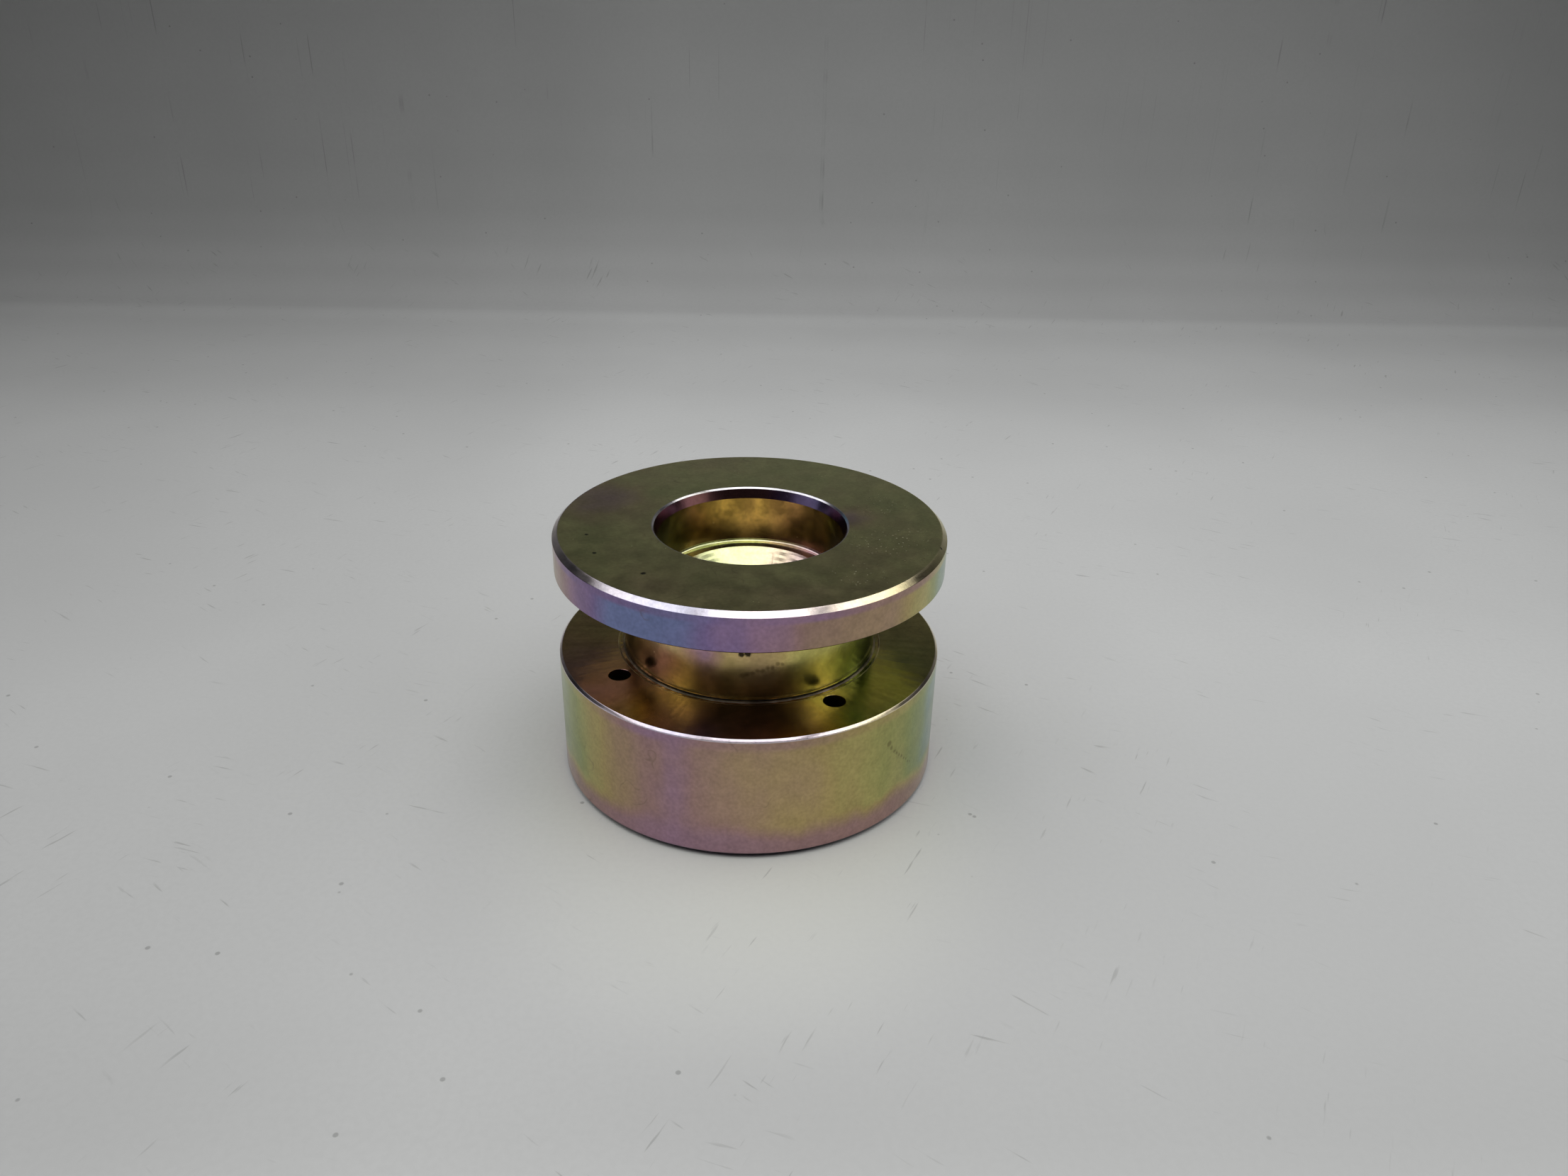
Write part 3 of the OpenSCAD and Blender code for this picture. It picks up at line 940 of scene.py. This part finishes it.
def spool_finish() -> ChromateFinish:
    """Plating of the spool, zone by zone.

    Returns:
        The finish.
    """
    return ChromateFinish(
        name="chromate_spool",
        rim=(
            (-180, 0.62), (-130, 0.74), (-85, 0.58), (-64, 0.38), (-50, 0.16), (-38, 0.0),
            (-20, 0.02), (-5, 0.16), (8, 0.34), (18, 0.48), (40, 0.48), (54, 0.66),
            (70, 0.93), (110, 0.70), (150, 0.40), (180, 0.62),
        ),
        zones=(
            # Top of the flange's rim, under its chamfer
            Zone(
                (39.8, 40.2),
                (51.6, 52.6),
                (
                    (-180, 0.6), (-90, 0.5), (-50, 0.14), (-15, 0.08),
                    (10, 0.3), (48, 0.42), (80, 0.8), (180, 0.6),
                ),
                edge=0.9,
            ),
            # Flange face
            Zone(
                (20.1, 39.2),
                (53.3, 54.0),
                ((-180, 0.68), (-90, 0.66), (0, 0.64), (120, 0.68), (180, 0.68)),
                tint=(1.30, 1.43, 1.72),
                edge=0.1,
                patchy=0.10,
                rough=0.03,
            ),
            # Flange chamfer, tinted much paler: painted highlight along the edge
            Zone(
                (38.9, 39.95),
                (52.6, 53.6),
                ((-180, 0.5), (-60, 0.2), (-15, 0.16), (5, 0.26), (40, 0.38), (180, 0.5)),
                tint=(2.1, 2.9, 1.8),
                edge=0.1,
            ),
            # Break of the mouth's edge, tinted near-white: painted highlight along the rim
            Zone(
                (19.6, 20.1),
                (53.0, 53.6),
                ((-180, 0.24), (0, 0.3), (180, 0.24)),
                tint=(1.9, 2.9, 2.0),
                edge=0.1,
            ),
            # Lead-in of the socket
            Zone(
                (18.9, 19.7),
                (51.2, 53.1),
                (
                    (-180, 0.38), (-150, 0.36), (-110, 0.30), (110, 0.2),
                    (132, 0.02), (158, 0.06), (172, 0.36), (180, 0.38),
                ),
                tint=(0.85, 0.62, 0.66),
            ),
            # Socket wall
            Zone(
                (18.5, 19.6),
                (41.7, 51.2),
                (
                    (-180, 0.54), (-150, 0.56), (-110, 0.84), (60, 0.8),
                    (112, 0.86), (128, 0.52), (150, 0.44), (180, 0.54),
                ),
                tint=(0.8, 0.66, 0.5),
                patchy=0.55,
            ),
            # Ledge and funnel
            Zone(
                (0.0, 19.4),
                (32.0, 41.7),
                ((-180, 0.71), (90, 0.66), (130, 0.47), (158, 0.58), (180, 0.71)),
                tint=(1.45, 1.6, 2.3),
                patchy=0.12,
            ),
            # Neck and spigot
            Zone(
                (24.0, 27.5),
                (25.0, 45.3),
                (
                    (-180, 0.6), (-60, 0.62), (-40, 0.52), (-28, 0.56), (-18, 0.48), (-8, 0.6),
                    (6, 0.56), (28, 0.7), (58, 0.82), (110, 0.66), (180, 0.6),
                ),
                tint=(1.55, 1.55, 1.4),
                patchy=0.22,
            ),
        ),
        pits=(
            Spot(-78.4, 33.2, 53.5, 0.5),
            Spot(-62.9, 33.6, 53.5, 0.55),
            Spot(-39.3, 31.3, 53.5, 0.65),
            Spot(73.2, 39.2, 53.5, 0.5),
            Spot(-3.4, 26.4, 37.7, 0.8),
            Spot(-0.6, 26.4, 37.9, 0.9),
        ),
        stains=trail(Spot(-3.0, 26.4, 33.0, 0.7), Spot(14.0, 26.4, 35.4, 0.5), 9),
        blushes=(
            Spot(-112.0, 34.0, 53.5, 15.0),
            Spot(100.0, 21.0, 53.5, 8.0),
            Spot(-22.0, 26.4, 38.0, 6.0),
        ),
        flecks=(Spot(74.0, 29.0, 53.5, 12.0), Spot(40.0, 32.0, 53.5, 8.0), Spot(110.0, 30.0, 53.5, 8.0)),
    )


def housing_finish() -> ChromateFinish:
    """Plating of the housing, zone by zone.

    Returns:
        The finish.
    """
    relief_film = ((-180, 0.55), (0, 0.5), (180, 0.55))
    return ChromateFinish(
        name="chromate_housing",
        rim=(
            (-180, 0.55), (-120, 0.80), (-80, 0.83), (-60, 0.79), (-49, 0.62), (-38, 0.46), (-27, 0.38),
            (-21, 0.32), (-13, 0.40), (2, 0.48), (14, 0.56), (30, 0.64), (46, 0.71), (57, 0.84),
            (68, 0.93), (84, 0.965), (112, 0.74), (140, 0.36), (180, 0.55),
        ),
        zones=(
            # Top of the wall, under its chamfer
            Zone(
                (39.8, 40.2),
                (25.6, 26.6),
                (
                    (-180, 0.55), (-120, 0.74), (-62, 0.72), (-30, 0.30),
                    (5, 0.42), (40, 0.60), (70, 0.88), (180, 0.55),
                ),
                edge=1.6,
            ),
            # Shoulder
            Zone(
                (24.0, 39.5),
                (26.0, 27.3),
                (
                    (-180, 0.7), (-95, 0.64), (-66, 0.42), (-52, 0.36), (-34, 0.58), (-5, 0.46),
                    (16, 0.52), (30, 0.66), (60, 0.78), (120, 0.7), (180, 0.7),
                ),
                tint=(1.08, 0.98, 0.98),
                edge=0.1,
                patchy=0.15,
            ),
            # Base chamfer, darkened nearly to black: painted shade, the dark reflection of the shadowed gap
            # under the part
            Zone(
                (38.4, 40.1),
                (-0.2, 1.15),
                ((-180, 0.3), (0, 0.2), (180, 0.3)),
                tint=(0.3, 0.28, 0.33),
                edge=0.1,
            ),
            # Inner and outer edge of the relief ring
            Zone((26.3, 26.72), (26.9, 27.4), relief_film, (1.1, 1.3, 1.7), 0.08, 0.6, 0.28),
            Zone((27.5, 27.75), (26.9, 27.4), relief_film, (1.5, 1.8, 2.2), 0.1, 0.6, 0.3),
            # Top chamfer, tinted much paler: painted highlight along the edge
            Zone(
                (39.5, 40.1),
                (26.6, 27.4),
                ((-180, 0.5), (-50, 0.22), (0, 0.22), (50, 0.36), (180, 0.5)),
                tint=(2.1, 2.9, 2.0),
                edge=0.1,
            ),
        ),
        foot=5.5,
        foot_film=0.29,
        stains=(
            Spot(43.5, 40.0, 19.4, 0.8),
            Spot(44.6, 40.0, 18.0, 0.6),
            *trail(Spot(46.0, 40.0, 16.8, 0.5), Spot(55.0, 40.0, 11.0, 0.35), 8),
        ),
    )


def cover_finish() -> ChromateFinish:
    """Plating of the cover, with another film around its centre.

    Returns:
        The finish.
    """
    return ChromateFinish(
        name="chromate_cover",
        rim=((-180, 0.6), (-90, 0.45), (0, 0.66), (90, 0.85), (180, 0.6)),
        zones=(Zone((0.0, 9.0), (0.0, 4.0), ((-180, 0.4), (0, 0.5), (180, 0.4)), edge=6.0),),
    )


@dataclass
class InletSpool:
    """Flange, socket, funnel, neck and spigot in one turned piece. Sizes in millimetres."""

    neck: float = 26.4
    spigot: float = 24.5
    spigot_length: float = 7.0
    spigot_chamfer: float = 0.5
    shoulder_break: float = 0.35
    flange: float = 8.0
    chamfer: float = 1.0
    under_break: float = 0.3
    mouth: float = 20.0
    mouth_break: float = 0.3
    socket: float = 19.0
    lead_in: float = 2.25
    depth: float = 12.4
    ledge: float = 3.0
    passage: float = 5.5
    funnel_slope: float = 31.0
    funnel_grooves: int = 8
    groove_lift: float = 0.045
    pocket: float = 13.0
    pocket_top: float = 32.1
    sides: int = 384
    finish: ChromateFinish = field(default_factory=spool_finish)

    def corners(self) -> list[Corner]:
        """The turned outline, from the pocket's top down, out and back in over the flange.

        Returns:
            Its corners.
        """
        low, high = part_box("inlet_spool")
        bottom, top = low.z / MM, high.z / MM
        rim = high.x / MM
        shoulder = bottom + self.spigot_length
        under = top - self.flange
        ledge_z = top - self.depth
        funnel = self.socket - self.ledge
        drop = (funnel - self.passage) * math.tan(math.radians(self.funnel_slope))
        wall = [
            Corner(self.passage, self.pocket_top, 0.2),
            Corner(self.pocket, self.pocket_top, 0.4),
            Corner(self.pocket, bottom),
            Corner(self.spigot - self.spigot_chamfer, bottom),
            Corner(self.spigot, bottom + self.spigot_chamfer),
            Corner(self.spigot, shoulder),
            Corner(self.neck - self.shoulder_break, shoulder),
            Corner(self.neck, shoulder + self.shoulder_break, 0.12),
            Corner(self.neck, under, 0.8, 8),
            Corner(rim - self.under_break, under, 0.08, 3),
            Corner(rim, under + self.under_break, 0.1, 3),
            Corner(rim, top - self.chamfer, 0.1, 4),
            Corner(rim - self.chamfer, top, 0.1, 4),
            Corner(self.mouth, top, 0.05, 3),
            Corner(self.mouth - self.mouth_break, top - self.mouth_break, 0.06, 3),
            Corner(self.socket, top - self.lead_in, 0.08, 3),
            Corner(self.socket, ledge_z, 0.6, 8),
            Corner(funnel, ledge_z, 0.12, 3),
        ]
        steps = 2 * self.funnel_grooves
        for index in range(1, steps):
            share = index / steps
            lift = self.groove_lift if index % 2 else -self.groove_lift
            wall.append(
                Corner(funnel + (self.passage - funnel) * share, ledge_z - drop * share + lift, 0.1, 2)
            )
        wall.append(Corner(self.passage, ledge_z - drop, 0.3))
        return wall

    def build(self) -> None:
        """Builds the spool and puts it in place of its CAD node."""
        outline = rounded_outline(self.corners(), closed=True)
        ripples = (Ripple(self.neck - 0.4, self.neck + 0.1, 27.0, 27.7, 0.05, 60.0),)
        piece = turned_mesh("spool", outline, True, self.sides, ripples)
        weight_normals(piece)
        stand_for(piece, "inlet_spool", "trap_body", self.finish.make())


@dataclass
class OutletHousing:
    """Thick cup with four discharge holes in its shoulder. Sizes in millimetres."""

    shoulder: float = 6.0
    gallery: float = 34.0
    ledge_height: float = 4.1
    ledge: float = 2.0
    base_chamfer: float = 1.2
    top_chamfer: float = 0.45
    bore: float = 24.6
    gasket_seat: float = 26.25
    gasket: float = 0.8
    relief: float = 26.6
    relief_width: float = 1.0
    relief_depth: float = 0.25
    groove_low: float = 0.35
    groove_high: float = 1.45
    hole: float = 2.25
    hole_circle: float = 30.85
    first_hole: float = 32.6
    hole_count: int = 4
    hole_break: float = 0.04
    overrun: float = 1.0
    sides: int = 384
    finish: ChromateFinish = field(default_factory=housing_finish)

    def corners(self) -> list[Corner]:
        """The turned outline of the cup.

        Returns:
            Its corners.
        """
        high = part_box("outlet_housing")[1]
        rim, top = high.x / MM, high.z / MM
        pocket = self.gallery + self.ledge
        inside = top - self.shoulder
        relief_out = self.relief + self.relief_width
        return [
            Corner(pocket, 0.0, 0.1, 3),
            Corner(rim - self.base_chamfer, 0.0, 0.15, 4),
            Corner(rim, self.base_chamfer, 0.2, 4),
            Corner(rim, top - self.top_chamfer, 0.1, 4),
            Corner(rim - self.top_chamfer, top, 0.1, 4),
            Corner(relief_out, top, 0.06, 3),
            Corner(relief_out - 0.1, top - self.relief_depth, 0.08, 3),
            Corner(self.relief + 0.1, top - self.relief_depth, 0.08, 3),
            Corner(self.relief, top, 0.06, 3),
            Corner(self.gasket_seat, top, 0.04, 2),
            Corner(self.gasket_seat, top - self.gasket),
            Corner(self.bore, top - self.gasket),
            Corner(self.bore, inside),
            Corner(self.gallery, inside, 0.4),
            Corner(self.gallery, self.ledge_height, 0.1, 3),
            Corner(pocket, self.ledge_height),
            Corner(pocket, self.groove_high),
            Corner(pocket + 1, self.groove_high),
            Corner(pocket + 1, self.groove_low),
            Corner(pocket, self.groove_low),
        ]

    def cutters(self) -> list[bpy.types.Object]:
        """Drills for the discharge holes, each with a small break at its mouth.

        Returns:
            The drills, in place.
        """
        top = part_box("outlet_housing")[1].z / MM
        low, high = top - self.shoulder - self.overrun, top + self.overrun
        wide = self.hole + self.hole_break
        outline = [
            Vector((0.0, low)),
            Vector((self.hole, low)),
            Vector((self.hole, top - self.hole_break)),
            Vector((wide, top)),
            Vector((wide, high)),
            Vector((0.0, high)),
        ]
        drills = []
        for index in range(self.hole_count):
            tool = turned_mesh(f"drill_{index}", outline, False, 96)
            angle = math.radians(self.first_hole + index * 360 / self.hole_count)
            across = self.hole_circle * MM
            tool.matrix_world = Matrix.Translation((across * math.cos(angle), across * math.sin(angle), 0))
            drills.append(tool)
        bpy.context.view_layer.update()
        return drills

    def build(self) -> None:
        """Builds the housing and puts it in place of its CAD node."""
        outline = rounded_outline(self.corners(), closed=True)
        ripples = (Ripple(self.relief - 0.2, self.relief + 1.2, 26.9, 27.25, 0.06, 45.0),)
        piece = turned_mesh("housing", outline, True, self.sides, ripples)
        drill(piece, self.cutters())
        weight_normals(piece)
        stand_for(piece, "outlet_housing", "trap_body", self.finish.make())


@dataclass
class BottomClosure:
    """Cover, its gasket and its snap ring, seen from below. Sizes in millimetres."""

    rings: int = 9
    ring_depth: float = 0.05
    ring_half: float = 0.15
    edge_break: float = 0.4
    sides: int = 256
    finish: ChromateFinish = field(default_factory=cover_finish)

    def build(self) -> None:
        """Builds the cover with its facing grooves and a centre mark."""
        low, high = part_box("bottom_cover")
        edge, under, top = high.x / MM, low.z / MM, high.z / MM
        corners = [Corner(0.0, under + 1.1), Corner(0.6, under + 0.8), Corner(1.3, under, 0.1, 3)]
        for index in range(1, self.rings + 1):
            place = edge * (index + 0.4) / (self.rings + 1.6)
            corners.append(Corner(place - self.ring_half, under))
            corners.append(Corner(place, under + self.ring_depth))
            corners.append(Corner(place + self.ring_half, under))
        corners += [
            Corner(edge - self.edge_break, under, 0.1, 3),
            Corner(edge, under + self.edge_break, 0.1, 3),
            Corner(edge, top, 0.1, 3),
            Corner(0.0, top),
        ]
        piece = turned_mesh("cover", rounded_outline(corners, closed=False), False, self.sides)
        weight_normals(piece)
        stand_for(piece, "bottom_cover", "trap_body", self.finish.make())

    def dress(self, graphite: bpy.types.Material, black: bpy.types.Material) -> None:
        """Gives the gasket and the snap ring their finishes.

        Args:
            graphite: finish of the gaskets.
            black: finish of blackened steel.
        """
        dress("cover_gasket", graphite)
        dress("cover_snap_ring", black)


@dataclass
class SealedInternals:
    """Seat, strainer, disc, cap and what fastens them, which keep their CAD shapes."""

    lapped: SteelFinish = SteelFinish("lapped_steel", (0.62, 0.62, 0.60), 0.2, 0.12)
    turned: SteelFinish = SteelFinish("turned_steel", (0.52, 0.52, 0.52), 0.3, 0.22)
    sheet: SteelFinish = SteelFinish("strainer_sheet", (0.60, 0.61, 0.62), 0.33, 0.4)
    strip: SteelFinish = SteelFinish("bimetal_strip", (0.66, 0.50, 0.27), 0.28, 0.3)

    def dress(self, graphite: bpy.types.Material, black: bpy.types.Material) -> None:
        """Gives every inner node its finish.

        Args:
            graphite: finish of the gaskets.
            black: finish of blackened steel.
        """
        lapped, turned, sheet, strip = (f.make() for f in (self.lapped, self.turned, self.sheet, self.strip))
        groups = {
            lapped: ("seat_plate", "orifice_bush", "valve_disc"),
            turned: (
                "control_cap",
                "strainer_clamp_ring",
                "seat_screw_washers",
                "seat_dowels",
                "housing_lock_pins",
            ),
            sheet: ("strainer_screen", "strainer_end_cap"),
            strip: ("bimetal_vent_ring",),
            graphite: ("shoulder_gasket", "seat_gasket", "cap_gasket"),
            black: ("seat_screws",),
        }
        for material, nodes in groups.items():
            for node in nodes:
                dress(node, material)


# --------------------------------------------------------------------------
# Stage, light and camera
# --------------------------------------------------------------------------


@dataclass(frozen=True)
class Panel:
    """One flat lamp that faces down, in metres and watts."""

    name: str
    centre: tuple[float, float, float]
    size: tuple[float, float]
    power: float

    def build(self) -> None:
        """Adds the lamp."""
        lamp = bpy.data.lights.new(self.name, "AREA")
        lamp.shape = "RECTANGLE"
        lamp.size, lamp.size_y = self.size
        lamp.energy = self.power
        holder = bpy.data.objects.new(self.name, lamp)
        holder.location = self.centre
        bpy.context.scene.collection.objects.link(holder)


@dataclass
class Studio:
    """Pale sweep, ceiling panels and a dim room. Sizes in metres."""

    half_width: float = 1.6
    front: float = -1.6
    back: float = 0.43
    bend: float = 0.05
    bend_steps: int = 16
    height: float = 0.9
    box_half: float = 0.5
    wall_front: float = -0.36
    wall_top: float = 0.33
    sink: float = 0.00005
    room: Colour = (0.016, 0.016, 0.017)
    table: TableFinish = TableFinish()
    panels: tuple[Panel, ...] = (
        Panel("panel_left", (-0.29, -0.04, 0.34), (0.29, 0.46), 0.67),
        Panel("panel_middle", (0.02, -0.04, 0.34), (0.27, 0.46), 0.80),
        Panel("panel_right", (0.335, -0.04, 0.34), (0.26, 0.46), 0.69),
    )

    def build(self) -> None:
        """Builds the sweep, the side walls, the lamps and the world."""
        self.sweep()
        for side in (-1, 1):
            self.side_wall(side)
        for panel in self.panels:
            panel.build()
        world = bpy.data.worlds.new("room")
        world.use_nodes = True
        world.node_tree.nodes["Background"].inputs[0].default_value = (*self.room, 1)
        bpy.context.scene.world = world
        bpy.context.scene.view_settings.view_transform = "Standard"

    def side_wall(self, side: int) -> None:
        """Builds one side wall of the light box, out of the camera's sight.

        Args:
            side: -1 for the left wall and 1 for the right one.
        """
        across = side * self.box_half
        front, top = self.wall_front, self.wall_top
        corners = [(across, y, z) for y, z in ((front, 0.0), (0.0, 0.0), (0.0, top), (front, top))]
        mesh = bpy.data.meshes.new("side_wall")
        mesh.from_pydata(corners, [], [(0, 1, 2, 3)])
        even = ((0.0, 1.0), (1.0, 1.0))
        board = TableFinish("wall_board", (0.8, 0.8, 0.8), rise=even, depth=even, width=even)
        mesh.materials.append(board.make())
        wall = bpy.data.objects.new(f"side_wall_{'left' if side < 0 else 'right'}", mesh)
        bpy.context.scene.collection.objects.link(wall)

    def sweep(self) -> None:
        """Builds the floor that curves up into a backdrop."""
        path = [(self.front, -self.sink), (self.back - self.bend, -self.sink)]
        for step in range(1, self.bend_steps + 1):
            angle = math.pi / 2 * step / self.bend_steps
            path.append(
                (self.back - self.bend + self.bend * math.sin(angle), self.bend * (1 - math.cos(angle)))
            )
        path.append((self.back, self.height))
        shape = bmesh.new()
        rows = [[shape.verts.new((x, y, z)) for y, z in path] for x in (-self.half_width, self.half_width)]
        for index in range(len(path) - 1):
            shape.faces.new((rows[0][index], rows[1][index], rows[1][index + 1], rows[0][index + 1]))
        mesh = bpy.data.meshes.new("sweep")
        shape.to_mesh(mesh)
        shape.free()
        mesh.polygons.foreach_set("use_smooth", [True] * len(mesh.polygons))
        mesh.materials.append(self.table.make())
        floor = bpy.data.objects.new("sweep", mesh)
        bpy.context.scene.collection.objects.link(floor)


@dataclass(frozen=True)
class StudioCamera:
    """The camera, given by its distance from the axis, height and three angles.

    Args:
        distance: distance from the turning axis, in metres.
        height: height above the table, in metres.
        pan: turn to the right, in degrees.
        tilt: tilt down, in degrees.
        roll: roll, in degrees.
        lens: focal length, in millimetres.
        sensor: width of the sensor, in millimetres.
        near: nearest distance that shows, in metres.
    """

    distance: float = 0.22131
    height: float = 0.14854
    pan: float = 1.845
    tilt: float = 26.373
    roll: float = -1.346
    lens: float = 27.05
    sensor: float = 36.0
    near: float = 0.01

    def build(self) -> None:
        """Adds the camera and makes it the scene's."""
        pan, tilt, roll = (math.radians(v) for v in (self.pan, self.tilt, self.roll))
        forward = Vector((math.sin(pan) * math.cos(tilt), math.cos(pan) * math.cos(tilt), -math.sin(tilt)))
        level = forward.cross(Vector((0, 0, 1))).normalized()
        down = forward.cross(level)
        right = math.cos(roll) * level + math.sin(roll) * down
        below = -math.sin(roll) * level + math.cos(roll) * down
        axes = Matrix((right, -below, -forward)).transposed().to_4x4()
        data = bpy.data.cameras.new("camera")
        data.lens = self.lens
        data.sensor_width = self.sensor
        data.clip_start = self.near
        camera = bpy.data.objects.new("camera", data)
        camera.matrix_world = Matrix.Translation((0, -self.distance, self.height)) @ axes
        bpy.context.scene.collection.objects.link(camera)
        bpy.context.scene.camera = camera


def main() -> None:
    """Builds the trap's looks, the stage and the camera, in order."""
    logging.basicConfig(level=logging.INFO, format="%(name)s: %(message)s")
    graphite = GraphiteFinish().make()
    black = SteelFinish("black_oxide", (0.05, 0.05, 0.055), 0.38, 0.3).make()
    InletSpool().build()
    OutletHousing().build()
    closure = BottomClosure()
    closure.build()
    closure.dress(graphite, black)
    SealedInternals().dress(graphite, black)
    Studio().build()
    StudioCamera().build()


if __name__ == "__main__":
    main()
